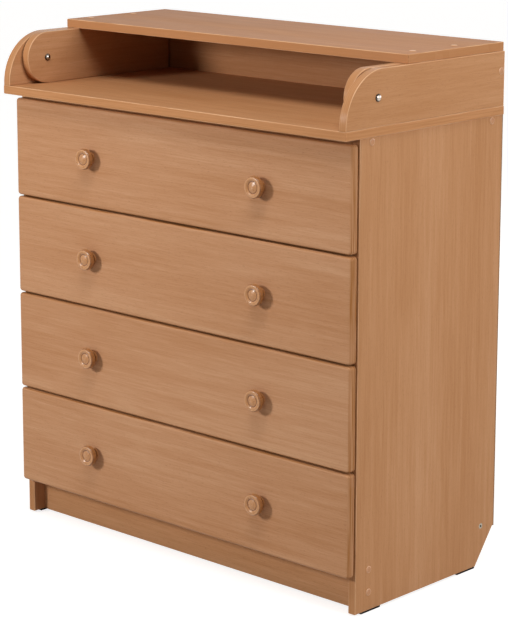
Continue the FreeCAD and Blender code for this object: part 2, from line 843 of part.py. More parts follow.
def make_pivots():
    """Sleeve bolts: a domed sleeve from outside, and a domed screw into it from inside."""
    dome = [("bolt_head_radius", "0"), ("bolt_head_radius", "-bolt_head_edge"),
            ("0", "-bolt_head_height")]
    bore = "bolt_radius + fit_gap"
    bore_end = "sleeve_length - bolt_length - bolt_bore_spare"
    sleeve = turned("pivot_sleeve", [
        ("0", bore_end),
        (bore, bore_end),
        (bore, "sleeve_length"),
        ("sleeve_radius", "sleeve_length"),
        ("sleeve_radius", "0"),
    ] + dome, domed=True)
    blank = turned("pivot_screw_blank", [
        ("0", "bolt_length"),
        ("bolt_radius", "bolt_length"),
        ("bolt_radius", "0"),
    ] + dome, domed=True)
    screw = hexagon_cut("pivot_screw", blank, "bolt_key", "bolt_key_depth", "-bolt_head_height")
    washer = turned("pivot_washer", [
        ("sleeve_radius + fit_gap", "0"),
        ("washer_radius", "0"),
        ("washer_radius", "arm_side_gap - 2 * washer_gap"),
        ("sleeve_radius + fit_gap", "arm_side_gap - 2 * washer_gap"),
    ])

    def pivot_spots(start, towards):
        return [((f"{side} * ({start})", "pivot_y", "pivot_z"), towards(side))
                for side in SIDES.values()]
    bolts = copies(sleeve, pivot_spots("tray_out", inward))
    bolts += copies(screw, pivot_spots("arm_in - pivot_clearance", outward))
    keep("pivot_bolts", group("pivot_bolts", bolts))
    washers = copies(washer, pivot_spots("cheek_in - washer_gap", inward))
    keep("pivot_washers", group("pivot_washers", washers))


# ---- drawers --------------------------------------------------------------------

def make_knob():
    """A turned wooden knob on its foot: a bead round its face, a sunk ring and a domed middle."""
    blank = turned("knob_blank", [
        ("0", "0"),
        ("knob_foot_radius", "0"),
        ("knob_foot_radius", "knob_foot_height"),
        ("knob_neck_radius", "knob_neck_low"),
        ("knob_neck_radius", "knob_neck_high"),
        ("knob_radius", "knob_rim_low"),
        ("knob_radius", "knob_height"),
        ("knob_bead_radius", "knob_height"),
        ("knob_ring_radius", "knob_height - knob_ring_depth"),
        ("0", "knob_height"),
    ], domed=True)
    for spot, radius in (("knob_neck_low", "knob_neck_round"), ("knob_neck_high", "knob_neck_round"),
                         ("knob_rim_low", "knob_rim_round"), ("knob_height", "knob_bead_top_round")):
        round_edges(blank, radius, lies_at("z", number(spot)))
    hole = cylinder("knob_hole", "knob_screw_radius + fit_gap", "knob_screw_grip + fit_gap",
                    ("0", "0", "0"), UP)
    return cut("knob", blank, [hole])


knob = make_knob()
knob_screw = turned("knob_screw", [
    ("0", "-knob_head_height"),
    ("knob_head_radius", "-knob_head_height"),
    ("knob_head_radius", "0"),
    ("knob_screw_radius", "0"),
    ("knob_screw_radius", "board + knob_screw_grip"),
    ("0", "board + knob_screw_grip"),
])


def base_low(drawer):
    return f"({box_low(drawer)} + groove_lift + fit_gap)"


def base_top(drawer):
    return f"({base_low(drawer)} + base_thickness)"


def box_top(drawer):
    return f"({box_low(drawer)} + box_height)"


def groove(label, drawer, low_x, low_y, length_x, length_y):
    """The slot that holds the drawer's base."""
    return box(label, (low_x, low_y, f"{box_low(drawer)} + groove_lift"),
               (length_x, length_y, "base_thickness + 2 * fit_gap"))


def knob_spots(drawer, y):
    z = f"{front_bottom(drawer)} + front_height / 2"
    return [((f"{side} * knob_x", y, z), FORWARD) for side in SIDES.values()]


def back_screw_spots(side, drawer):
    """Screws through a drawer's side into its back."""
    span = f"({box_top(drawer)} - {base_top(drawer)})"
    heights = [f"{base_top(drawer)} + {span} * {share} / 4" for share in (1, 3)]
    return [((f"{side} * box_out", "box_rear - board / 2", z), inward(side)) for z in heights]


def drawer_rail_screw_spots(side, drawer):
    x = f"{side} * (box_out + runner_steel)"
    z = f"({box_low(drawer)} + {rail_low(drawer)} + flange_low) / 2"
    rows = ("box_front + runner_screw_front", "box_front + runner_screw_front + runner_screw_pitch")
    return [((x, y, z), inward(side)) for y in rows]


def base_nail_spots(drawer):
    return [((f"{share} * base_nail_span / 2", "box_rear - board / 2", base_low(drawer)), UP)
            for share in (-1, 0, 1)]


def cam_heights(drawer):
    return [f"{box_low(drawer)} + {rise}" for rise in ("cam_rise_low", "cam_rise_high")]


def cam_x(side):
    return f"{side} * (box_in + board / 2)"


def cam_holes(label, side, drawer):
    """The pocket of each cam in a drawer's side."""
    return [cylinder(label, "cam_radius", "cam_depth",
                     (f"{side} * box_in", "box_front + cam_setback", z), outward(side))
            for z in cam_heights(drawer)]


def cam_bolts(label, side, drawer, spare="0"):
    """The bolt from each cam into the drawer's front, or with spare its hole."""
    return [cylinder(label, f"cam_bolt_radius + {spare}",
                     f"cam_bolt_grip + cam_setback - cam_bolt_stop + 2 * {spare}",
                     (cam_x(side), f"box_front - cam_bolt_grip - {spare}", z), BACKWARD)
            for z in cam_heights(drawer)]


def make_cams(side, drawer):
    made = []
    for z in cam_heights(drawer):
        wheel = cylinder("cam_wheel", "cam_radius - fit_gap", "cam_depth - fit_gap",
                         (f"{side} * box_in", "box_front + cam_setback", z), outward(side))
        slot_low = "box_in" if side == RIGHT else "-box_in - cam_slot_depth"
        slot = box("cam_slot", (slot_low, "box_front + cam_setback - cam_slot_length / 2",
                                f"{z} - cam_slot_width / 2"),
                   ("cam_slot_depth", "cam_slot_length", "cam_slot_width"))
        made.append(cut("cam", wheel, [slot] + cam_bolts("cam_bore", side, drawer, "fit_gap")))
    return made


def make_front(drawer):
    front_half = "side_out - front_inset"
    bottom = front_bottom(drawer)
    outline = rectangle(f"-({front_half})", bottom, front_half, f"{bottom} + front_height")
    blank = panel(f"front_blank_{drawer}", "XZ_Plane", outline, "face_y")
    round_edges(blank, "front_corner", lambda first, second: abs(first.y - second.y) > TOUCH)
    round_edges(blank, "front_edge_round", lies_at("y", 0))
    round_edges(blank, "edge_round", lies_at("y", number("board")))
    tools = [groove("front_groove", drawer, "-box_in - groove_depth", "box_front - groove_depth",
                    "2 * (box_in + groove_depth)", "groove_depth")]
    for side in SIDES.values():
        tools += cam_bolts("front_bore", side, drawer, "fit_gap")
    for (x, y, z), direction in knob_spots(drawer, "box_front"):
        tools.append(cylinder("knob_bore", "knob_screw_radius + fit_gap", "board", (x, y, z),
                              direction))
    keep(f"drawer_{drawer}_front", cut(f"drawer_{drawer}_front", blank, tools))


def make_box(drawer):
    sides, rails, wheels, fasteners = [], [], [], []
    for name, side in SIDES.items():
        tag = f"drawer_{drawer}_{name}"
        blank = panel(f"{tag}_blank", "YZ_Plane",
                      rectangle("box_front", box_low(drawer), "box_rear", box_top(drawer)),
                      "box_in" if side == RIGHT else "-box_out")
        groove_x = "box_in" if side == RIGHT else "-box_in - groove_depth"
        tools = [groove(f"{tag}_groove", drawer, groove_x, "box_front",
                        "groove_depth", "box_rear - box_front")]
        tools += cam_holes(f"{tag}_cam_hole", side, drawer)
        tools += copies(confirmat_bore, back_screw_spots(side, drawer))
        tools += copies(wood_screw_bore, drawer_rail_screw_spots(side, drawer))
        holed = cut(f"{tag}_holed", blank, tools)
        sides.append(cut(f"{tag}_side", holed, cam_bolts(f"{tag}_bore", side, drawer, "fit_gap")))

        fasteners += copies(confirmat, back_screw_spots(side, drawer))
        fasteners += copies(wood_screw, drawer_rail_screw_spots(side, drawer))
        fasteners += cam_bolts(f"{tag}_cam_bolt", side, drawer) + make_cams(side, drawer)

        low = rail_low(drawer)
        angle = panel(f"{tag}_angle", "XZ_Plane", drawer_rail_outline(side, low, box_low(drawer)),
                      "box_front + runner_front_gap", "box_rear - box_front - runner_front_gap")
        z = f"{low} + rear_axle_rise"
        web = f"{side} * (box_out + runner_steel)"
        pieces = axle(tag, web, REAR_AXLE_Y, z, outward(side))
        bores = copies(wood_screw_bore, drawer_rail_screw_spots(side, drawer))
        rails.append(fuse(f"{tag}_rail", [cut(f"{tag}_angle_holed", angle, bores)] + pieces))
        gap = f"{side} * (box_out + runner_steel + 2 * fit_gap)"
        wheels.append(roller(f"{tag}_roller", gap, REAR_AXLE_Y, z, outward(side)))
    keep(f"drawer_{drawer}_sides", group(f"drawer_{drawer}_sides", sides))
    keep(f"drawer_{drawer}_runners", group(f"drawer_{drawer}_runners", rails))
    keep(f"drawer_{drawer}_rollers", group(f"drawer_{drawer}_rollers", wheels))

    back = panel(f"back_board_{drawer}", "XZ_Plane",
                 rectangle("-box_in", base_top(drawer), "box_in", box_top(drawer)),
                 "box_rear - board")
    bores = [spot for side in SIDES.values() for spot in back_screw_spots(side, drawer)]
    nails = base_nail_spots(drawer)
    keep(f"drawer_{drawer}_back", cut(f"drawer_{drawer}_back", back,
                                      copies(confirmat_bore, bores) + copies(nail_bore, nails)))

    reach = "box_in + groove_depth - groove_slack"
    base = panel(f"base_blank_{drawer}", "XY_Plane",
                 rectangle(f"-({reach})", "box_front - groove_depth + groove_slack",
                           reach, "box_rear"), base_low(drawer), "base_thickness")
    keep(f"drawer_{drawer}_base", cut(f"drawer_{drawer}_base", base, copies(nail_bore, nails)))
    fasteners += copies(nail, nails) + copies(knob_screw, knob_spots(drawer, "box_front"))
    keep(f"drawer_{drawer}_fasteners", group(f"drawer_{drawer}_fasteners", fasteners))


def make_drawer(drawer):
    make_front(drawer)
    make_box(drawer)
    keep(f"drawer_{drawer}_knobs",
         group(f"drawer_{drawer}_knobs", copies(knob, knob_spots(drawer, "face_y"))))


# ---- build, check and write -----------------------------------------------------

make_carcass()
make_glides()
make_carcass_screws()
make_cabinet_runners()
make_tray()
make_lid()
make_pivots()
for each_drawer in ALL_DRAWERS:
    make_drawer(each_drawer)
doc.recompute()

for item in doc.Objects:
    if {"Invalid", "Error"} & set(item.State):
        raise RuntimeError(f"{item.Label} failed to compute")
for label, thing in NODES.items():
    if thing.Shape.isNull() or not thing.Shape.isValid():
        raise RuntimeError(f"{label} has no valid shape")

os.makedirs("parts", exist_ok=True)
for label, thing in NODES.items():
    thing.Shape.exportStep(f"parts/{label}.step")
print(f"wrote {len(NODES)} pieces, {sum(len(thing.Shape.Solids) for thing in NODES.values())} solids")
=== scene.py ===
# %% [markdown]
# # Dressing a changing dresser
# The dresser was drawn as solid boards, screws, runners and rollers, and packed as one model
# with its hinge and slides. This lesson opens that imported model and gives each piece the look
# it has on the real thing: beech-patterned boards with edging, turned knobs, bright steel.
# The pieces could be modelled again here, but the drawn ones already have the right shapes, so
# each stays as it was drawn and only its finish is new.
# Everything is in metres, X runs across the dresser, Y goes to its back and Z goes up.

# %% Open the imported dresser
import math
import bmesh
import bpy
from mathutils import Matrix, Vector


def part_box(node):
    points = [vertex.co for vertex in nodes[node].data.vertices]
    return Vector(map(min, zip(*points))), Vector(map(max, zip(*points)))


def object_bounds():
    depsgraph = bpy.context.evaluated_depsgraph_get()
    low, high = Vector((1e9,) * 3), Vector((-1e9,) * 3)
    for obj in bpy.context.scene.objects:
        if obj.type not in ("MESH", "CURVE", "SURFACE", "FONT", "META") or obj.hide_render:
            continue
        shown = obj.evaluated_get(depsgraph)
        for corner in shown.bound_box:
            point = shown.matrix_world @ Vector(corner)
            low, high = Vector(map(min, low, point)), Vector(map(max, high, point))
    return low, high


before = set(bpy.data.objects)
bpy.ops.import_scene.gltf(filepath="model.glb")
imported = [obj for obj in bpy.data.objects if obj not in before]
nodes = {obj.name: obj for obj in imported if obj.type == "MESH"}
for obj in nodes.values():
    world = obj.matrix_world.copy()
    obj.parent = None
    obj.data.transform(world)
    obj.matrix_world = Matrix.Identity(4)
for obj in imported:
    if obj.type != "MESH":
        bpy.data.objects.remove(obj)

DRAWERS = (1, 2, 3, 4)

cad_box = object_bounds()
width, depth, height = (cad_box[1][axis] - cad_box[0][axis] for axis in range(3))
print(f"{len(nodes)} pieces, {width:.3f} wide, {depth:.3f} deep and {height:.3f} high")

# %% [markdown]
# ## The camera
# A catalogue picture like this one is taken from far away with a long lens, so the dresser's
# edges stay almost parallel. The camera's place could be found by eye, but a fit is surer:
# corners whose real places are known were matched to where the photograph shows them. The
# picture was cropped after it was taken, so the lens axis doesn't go through its middle, and
# the lens shift puts that back. The picture is taller than wide, so the sensor's long side
# lies along its height.

# %% Place the camera
PHOTO_HEIGHT = 630  # pixels
AXIS_ROW = 230  # the row of pixels that the lens axis goes through
FOCAL_PIXELS = 2239.3  # the lens's focal length, counted in the picture's pixels
SENSOR = 36.0  # millimetres
CAMERA_PLACE = Vector((2.7384, -2.9243, 1.3856))
CAMERA_TURN = math.radians(42.93)
CAMERA_TILT = math.radians(11.25)
CAMERA_LEAN = math.radians(0.09)
LOOKS_LEVEL = math.pi / 2  # a new camera looks straight down

camera_lens = bpy.data.cameras.new("catalogue_camera")
camera_lens.sensor_width = SENSOR
camera_lens.lens = FOCAL_PIXELS * SENSOR / PHOTO_HEIGHT
camera_lens.shift_y = (AXIS_ROW - PHOTO_HEIGHT / 2) / PHOTO_HEIGHT
camera = bpy.data.objects.new("catalogue_camera", camera_lens)
bpy.context.scene.collection.objects.link(camera)
camera.matrix_world = (
    Matrix.Translation(CAMERA_PLACE)
    @ Matrix.Rotation(CAMERA_TURN, 4, "Z")
    @ Matrix.Rotation(LOOKS_LEVEL - CAMERA_TILT, 4, "X")
    @ Matrix.Rotation(CAMERA_LEAN, 4, "Z")
)
bpy.context.scene.camera = camera
print(f"a {camera_lens.lens:.0f} mm lens, {CAMERA_PLACE.length:.1f} m from the dresser's foot")

# %% [markdown]
# ## Writing colours down
# A board's tone is easiest to write the way a screen shows it, but a shader wants amounts of
# light. The two differ by a curve. The light values could be written down instead, but nobody
# could read a tone in them, so one small helper does the turning.

# %% Turn a written colour into light
STRAIGHT_END = 0.04045  # the curve's dark end is a straight line
STRAIGHT_SLOPE = 12.92
CURVE_LIFT = 0.055
CURVE_POWER = 2.4
WHITE = "FFFFFF"
MIDDLE_GREY = "808080"


def light(shown):
    """The amount of light that one part of a written colour, from 0 to 1, stands for."""
    if shown <= STRAIGHT_END:
        return shown / STRAIGHT_SLOPE
    return ((shown + CURVE_LIFT) / (1.0 + CURVE_LIFT)) ** CURVE_POWER


def colour(written):
    """The light values of a colour that is written as six hexadecimal digits."""
    parts = [int(written[place : place + 2], 16) / 255 for place in (0, 2, 4)]
    return (*(light(part) for part in parts), 1.0)


print(f"a written middle grey stands for {colour(MIDDLE_GREY)[0]:.3f} of full light")

# %% [markdown]
# ## Small steps for building a finish
# Every finish on the dresser is a net of small nodes. Writing each node and link out takes
# many lines, so these helpers do one thing each: put a value or a link into a socket, reckon
# with two values, ramp from one value to another, and mix two colours.

# %% Helpers for nodes
# A Mix node has a set of sockets for each kind of value, under the same names, so the ones
# for colours are found by number.
MIX_AMOUNT = 0
MIX_UNDER = 6
MIX_OVER = 7
MIX_RESULT = 2


def feed(tree, socket, value):
    """Puts another node's output, or a plain value, into a socket."""
    if isinstance(value, bpy.types.NodeSocket):
        tree.links.new(value, socket)
    else:
        socket.default_value = value


def reckon(tree, operation, first, second=0.0):
    """A sum, product or other reckoning with two values."""
    step = tree.nodes.new("ShaderNodeMath")
    step.operation = operation
    feed(tree, step.inputs[0], first)
    feed(tree, step.inputs[1], second)
    return step.outputs[0]


def ramp_between(tree, value, start, end, low=0.0, high=1.0):
    """Low where value is at start, high where it is at end, and smooth between."""
    step = tree.nodes.new("ShaderNodeMapRange")
    step.interpolation_type = "SMOOTHSTEP"
    feed(tree, step.inputs["Value"], value)
    feed(tree, step.inputs["From Min"], start)
    feed(tree, step.inputs["From Max"], end)
    feed(tree, step.inputs["To Min"], low)
    feed(tree, step.inputs["To Max"], high)
    return step.outputs["Result"]


def blend(tree, amount, under, over):
    """The colour over laid on the colour under by that amount."""
    step = tree.nodes.new("ShaderNodeMix")
    step.data_type = "RGBA"
    feed(tree, step.inputs[MIX_AMOUNT], amount)
    feed(tree, step.inputs[MIX_UNDER], under)
    feed(tree, step.inputs[MIX_OVER], over)
    return step.outputs[MIX_RESULT]


print("helpers for values and colours are ready")

# %% [markdown]
# ## Patterns, relief and putting a finish on
# Grain, fibres, scratches and mottle are all soft random patterns, some of them stretched
# along one direction. They could be painted on images, but a pattern that is worked out from
# a piece's own place stays sharp up close, needs no file and moves with its drawer or lid.

# %% Helpers for patterns and finishes
DRIFT = (1.0, 1.7, 2.3)  # how far an offset moves a pattern along X, Y and Z
MOST = (0.3, 0.7)  # most of a soft pattern lies between these


def coordinate(tree, kind, axis):
    """The X, Y or Z part of a piece's own Object place or Normal."""
    place = tree.nodes.new("ShaderNodeTexCoord")
    split = tree.nodes.new("ShaderNodeSeparateXYZ")
    tree.links.new(place.outputs[kind], split.inputs["Vector"])
    return split.outputs[axis]


def even(repeats):
    """The same number of repeats a metre along X, Y and Z."""
    return (repeats, repeats, repeats)


def stretched(axis, along_it, across_it):
    """Repeats a metre for X, Y and Z: so many along one axis and so many along the others."""
    return tuple(along_it if each == axis else across_it for each in "XYZ")


def pattern(tree, per_metre, offset=0.0, detail=2.0, distortion=0.0):
    """A soft random pattern from 0 to 1, with so many repeats a metre along X, Y and Z."""
    place = tree.nodes.new("ShaderNodeTexCoord")
    stretch = tree.nodes.new("ShaderNodeMapping")
    stretch.inputs["Scale"].default_value = per_metre
    stretch.inputs["Location"].default_value = tuple(offset * step for step in DRIFT)
    tree.links.new(place.outputs["Object"], stretch.inputs["Vector"])
    noise = tree.nodes.new("ShaderNodeTexNoise")
    noise.inputs["Scale"].default_value = 1.0
    noise.inputs["Detail"].default_value = detail
    noise.inputs["Distortion"].default_value = distortion
    tree.links.new(stretch.outputs["Vector"], noise.inputs["Vector"])
    return noise.outputs["Fac"]


def raise_surface(tree, shader, heights, relief):
    """A fine relief, so many metres high, that catches the light."""
    bump = tree.nodes.new("ShaderNodeBump")
    bump.inputs["Strength"].default_value = 1.0
    bump.inputs["Distance"].default_value = relief
    feed(tree, bump.inputs["Height"], heights)
    tree.links.new(bump.outputs["Normal"], shader.inputs["Normal"])


def new_finish(name):
    """A new material, its net of nodes and its shader."""
    finish = bpy.data.materials.new(name)
    finish.use_nodes = True
    return finish, finish.node_tree, finish.node_tree.nodes["Principled BSDF"]


def dress(piece_names, finish):
    """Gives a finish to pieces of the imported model."""
    for name in piece_names:
        for slot in nodes[name].material_slots:
            slot.material = finish


print("helpers for patterns and finishes are ready")

# %% [markdown]
# ## The beech print
# The boards are chipboard with a printed beech paper under clear resin. The print has four
# scales: wide soft clouds of tone with faint rings in them, streaks a few millimetres wide,
# fine lines, and the short dark flecks that beech has. One stretched noise could stand for
# all of it, but it looks like brushed paint, so each scale is a pattern of its own, and all
# of them run along the grain.

# %% The face of a board
# Each part's repeats a metre along the grain and across it, its place on the sheet, its
# detail and its distortion. The faint rings follow the crown.
CLOUDS = (1.1, 9.0, 0.0, 2.0, 0.4)
CROWN = (0.9, 5.0, 5.3, 1.0, 0.0)
STREAKS = (4.5, 140.0, 3.1, 3.0, 0.3)
FINE_LINES = (22.0, 620.0, 7.7, 2.0, 0.0)
FLECKS = (120.0, 1500.0, 9.3, 1.0, 0.0)
FACE_SHADES = ("B27E54", "BB885F", "C4936C")  # dark, middle and pale
SHADES_AT = (0.36, 0.5, 0.64)
BASE_TONE = 0.02
CLOUD_SHARE = 0.38
RING_SHARE = 0.014
STREAK_SHARE = 0.30
FINE_SHARE = 0.26
RING_STEPS = 75.0  # how quickly the rings follow each other
FLECK = "8E6142"
FLECK_SHARE = 0.35
FLECKS_SHOW = (0.62, 0.72)
FINE_RELIEF = 0.6  # how high the fine lines stand beside the flecks


def three_shades(tree, tone, shades):
    """The dark shade where tone is low, the pale one where it is high, the other between."""
    ramp = tree.nodes.new("ShaderNodeValToRGB")
    stops = ramp.color_ramp.elements
    stops.new(SHADES_AT[1])
    for stop, place, shade in zip(stops, SHADES_AT, shades):
        stop.position = place
        stop.color = colour(shade)
    tree.links.new(tone, ramp.inputs["Fac"])
    return ramp.outputs["Color"]


def print_part(tree, part, grain, sheet):
    """One part of the print, stretched along the grain."""
    along_grain, across_grain, place, detail, distortion = part
    per_metre = stretched(grain, along_grain, across_grain)
    return pattern(tree, per_metre, sheet + place, detail, distortion)


def beech_print(tree, grain, sheet, shades):
    """The print's colour, its clouds and its relief, from one place on the printed sheet."""
    clouds = print_part(tree, CLOUDS, grain, sheet)
    crown = print_part(tree, CROWN, grain, sheet)
    streaks = print_part(tree, STREAKS, grain, sheet)
    fine = print_part(tree, FINE_LINES, grain, sheet)
    flecks = print_part(tree, FLECKS, grain, sheet)
    rings = reckon(tree, "SINE", reckon(tree, "MULTIPLY", crown, RING_STEPS))
    parts = ((clouds, CLOUD_SHARE), (rings, RING_SHARE), (streaks, STREAK_SHARE), (fine, FINE_SHARE))
    tone = BASE_TONE
    for part, share in parts:
        tone = reckon(tree, "ADD", tone, reckon(tree, "MULTIPLY", part, share))
    dash = ramp_between(tree, flecks, *FLECKS_SHOW, 0.0, FLECK_SHARE)
    face = blend(tree, dash, three_shades(tree, tone, shades), colour(FLECK))
    relief = reckon(tree, "ADD", reckon(tree, "MULTIPLY", fine, FINE_RELIEF), flecks)
    return face, clouds, relief


print("a board's middle shade is", FACE_SHADES[1])

# %% [markdown]
# ## Edging and painted arris highlights
# A strip of the same print, a little more orange, is glued round each board's edges, and its
# fine lines run along the board. The rounded arris between face and strip is painted paler, as a
# painted highlight, more in some places than in others. The faces could be picked out by hand,
# but the surface normal already knows them: on a board's face it points along the board's thin
# direction, on an edge it doesn't, and on the rounded arris it lies between.

# %% The edges of a board
EDGING = "B27C50"
# the paler tone that is painted on the rounded arris as a highlight
ARRIS_HIGHLIGHT = "DDB18A"
STRIP_LINES = 700.0  # repeats a metre across the strip
STRIP_LENGTHWISE = 9.0
ARRIS_FROM_EDGE = (0.1, 0.35)  # where the normal leaves the edge
ARRIS_TO_FACE = (0.9, 0.995)  # where it has turned to the face
ARRIS_HIGHLIGHT_PATCHES = 14.0
ARRIS_HIGHLIGHT_STEPS = (0.35, 0.65)
LEAST_ARRIS_HIGHLIGHT = 0.35


def facing(tree, axis):
    """1 where the surface faces along an axis, 0 where it lies along it, and between on a bend."""
    return reckon(tree, "ABSOLUTE", coordinate(tree, "Normal", axis))


def edge_strip(tree, thin, sheet, edging, middle_shade):
    """The strip's colour, with fine lines that run along the board."""
    lines = pattern(tree, stretched(thin, STRIP_LINES, STRIP_LENGTHWISE), sheet)
    return blend(tree, ramp_between(tree, lines, *MOST), colour(edging), colour(middle_shade))


def painted_arris_highlight(tree, flat, sheet, arris_highlight_share):
    """How much painted highlight the arris gets, in uneven patches, and 0 off the arris."""
    off_edge = ramp_between(tree, flat, *ARRIS_FROM_EDGE)
    off_face = ramp_between(tree, flat, *ARRIS_TO_FACE, 1.0, 0.0)
    patches = pattern(tree, even(ARRIS_HIGHLIGHT_PATCHES), sheet, detail=3.0)
    highlight_in_patches = ramp_between(tree, patches, *ARRIS_HIGHLIGHT_STEPS, LEAST_ARRIS_HIGHLIGHT * arris_highlight_share, arris_highlight_share)
    return reckon(tree, "MULTIPLY", reckon(tree, "MULTIPLY", off_edge, off_face), highlight_in_patches)


# the arris tone is a painted highlight
print("a board's edging is", EDGING, "and its rubbed arris", ARRIS_HIGHLIGHT)

# %% [markdown]
# ## One board's finish
# Face, strip and arris now come together under the clear resin, which is duller on the faces
# than on the strip. Each part could be a material of its own, but a board is one solid with
# no seams to put them on, so one finish holds all three and the normal chooses between them.

# %% Put a board's finish together
RESIN_ROUGH = (0.44, 0.54)
STRIP_POLISH = 0.20
RESIN_SHINE = 0.07
BOARD_RELIEF = 0.00004


def printed_board(name, grain, thin, sheet, shades=FACE_SHADES, edging=EDGING, arris_highlight_share=0.8,
                  face_from=0.55, face_to=0.9):
    """The finish of one board, cut from its own place on the printed sheet.

    The grain runs along one axis, and the board is thin along another. The face begins
    where the normal's part along thin passes face_from, and is whole from face_to on.
    """
    finish, tree, shader = new_finish(name)
    face, clouds, relief = beech_print(tree, grain, sheet, shades)
    flat = facing(tree, thin)
    is_face = ramp_between(tree, flat, face_from, face_to)
    surface = blend(tree, is_face, edge_strip(tree, thin, sheet, edging, shades[1]), face)
    # painted highlight: the arris is laid paler over face and strip
    surface = blend(tree, painted_arris_highlight(tree, flat, sheet, arris_highlight_share), surface, colour(ARRIS_HIGHLIGHT))
    tree.links.new(surface, shader.inputs["Base Color"])
    dull = ramp_between(tree, clouds, *MOST, *RESIN_ROUGH)
    polish = ramp_between(tree, is_face, 0.0, 1.0, STRIP_POLISH, 0.0)
    tree.links.new(reckon(tree, "SUBTRACT", dull, polish), shader.inputs["Roughness"])
    shader.inputs["Specular IOR Level"].default_value = RESIN_SHINE
    raise_surface(tree, shader, relief, BOARD_RELIEF)
    return finish


print(f"the print's relief is {1000 * BOARD_RELIEF:.2f} mm")

# %% [markdown]
# ## Cutting the boards from the sheet
# A cabinet maker turns each board so that its grain runs the way the eye expects: upright on
# the side panels, across on the fronts, tray and lid, and front to back on the cheeks and
# arms. All boards could share one finish, but then their grain would line up from piece to
# piece, so each comes from another place on the sheet and no two fronts match. The lid and the
# tray's back rail are printed darker, as painted shade, the tray lighter, as painted light, and
# the fronts come from a sheet of a slightly different shade. The fronts' edge strip is printed
# darker, as painted shade on their rounded edges, and their arris gets no painted highlight.

# %% Dress the boards
# Each board's name, the axis that its grain follows, and the axis that it is thin along.
BOARDS = [
    ("side_panel_left", "Z", "X"),
    ("side_panel_right", "Z", "X"),
    ("bottom_panel", "X", "Z"),
    ("plinth_front", "X", "Y"),
    ("top_rails", "X", "Z"),
    ("tray_board", "X", "Z"),
    ("tray_cheek_left", "Y", "X"),
    ("tray_cheek_right", "Y", "X"),
    ("tray_back_rail", "X", "Y"),
    ("lid_board", "X", "Z"),
    ("lid_arm_left", "Y", "X"),
    ("lid_arm_right", "Y", "X"),
]
FRONTS = [(f"drawer_{number}_front", "X", "Y") for number in DRAWERS]
# the lid and the back rail are printed darker as painted shade, the tray lighter as painted light
SHEETS_WITH_PAINTED_LIGHT_AND_SHADE = {
    "tray_back_rail": ("A06B43", "AA764F", "B4835D"),
    "lid_board": ("A87148", "B47E54", "C08B61"),
    "tray_board": ("B37B4E", "BF885C", "C9956A"),
}
FRONT_SHADES = ("B27F58", "BC8B66", "C69874")
# the fronts' strip is printed darker as painted shade on their rounded edges
FRONT_EDGING_WITH_PAINTED_SHADE = "98622F"
SHEET_STEP = 1.37

for number, (piece, grain, thin) in enumerate(BOARDS):
    shades = SHEETS_WITH_PAINTED_LIGHT_AND_SHADE.get(piece, FACE_SHADES)
    dress([piece], printed_board(f"beech_{piece}", grain, thin, SHEET_STEP * number, shades))
for number, (piece, grain, thin) in enumerate(FRONTS, len(BOARDS)):
    # no painted arris highlight on the fronts, and their darker strip, painted shade, reaches further
    # over the rounding
    dress([piece], printed_board(f"beech_{piece}", grain, thin, SHEET_STEP * number, FRONT_SHADES,
                                 FRONT_EDGING_WITH_PAINTED_SHADE, arris_highlight_share=0.0, face_from=0.6, face_to=0.99))
print(len(BOARDS + FRONTS), "boards are dressed")

# %% [markdown]
# ## Drawer boxes
# The boxes are the same chipboard in a plainer, paler paper, because nobody sees them until
# a drawer is open. They could have a simpler finish for that reason, but an open drawer shows
# them from close by, so they take the boards' finish with paler shades.

# %% Dress the drawer boxes
BOX_SHADES = ("C9AE8C", "D3BA9A", "DCC6A8")
BOX_EDGING = "C4A57F"
BOX_SIDES_SHEET = 31.0
BOX_BACKS_SHEET = 41.0

for number in DRAWERS:
    sides = printed_board(f"box_sides_{number}", "Y", "X", BOX_SIDES_SHEET + number,
                          BOX_SHADES, BOX_EDGING)
    back = printed_board(f"box_back_{number}", "X", "Y", BOX_BACKS_SHEET + number,
                         BOX_SHADES, BOX_EDGING)
    dress([f"drawer_{number}_sides"], sides)
    dress([f"drawer_{number}_back"], back)
print(len(DRAWERS), "drawer boxes are dressed")

# %% [markdown]
# ## Hardboard
# The cabinet's back and the drawers' bases are 3 mm hardboard: papered on the side that
# shows, and bare pressed fibre on the other. The two sides could be split into two pieces,
# but the sheet is one solid, and the sign of its normal tells them apart.

# %% Dress the hardboard
FIBRE_DARK = "7A5330"
FIBRE_PALE = "9A7148"
FIBRE_STAIN = "6C4728"
PAPER_DARK = "C4A27C"
PAPER_PALE = "D2B590"
STAIN_SHARE = 0.3
STAINS_SHOW = (0.35, 0.7)
PAPER_SIDE = (0.4, 0.8)  # how far the normal points to the papered side
FIBRES = 260.0
STAINS = 14.0
PAPER_STREAKS = (6.0, 150.0, 150.0)
BARE_ROUGH = 0.85
PAPER_ROUGH = 0.5
FIBRE_RELIEF = 0.00012


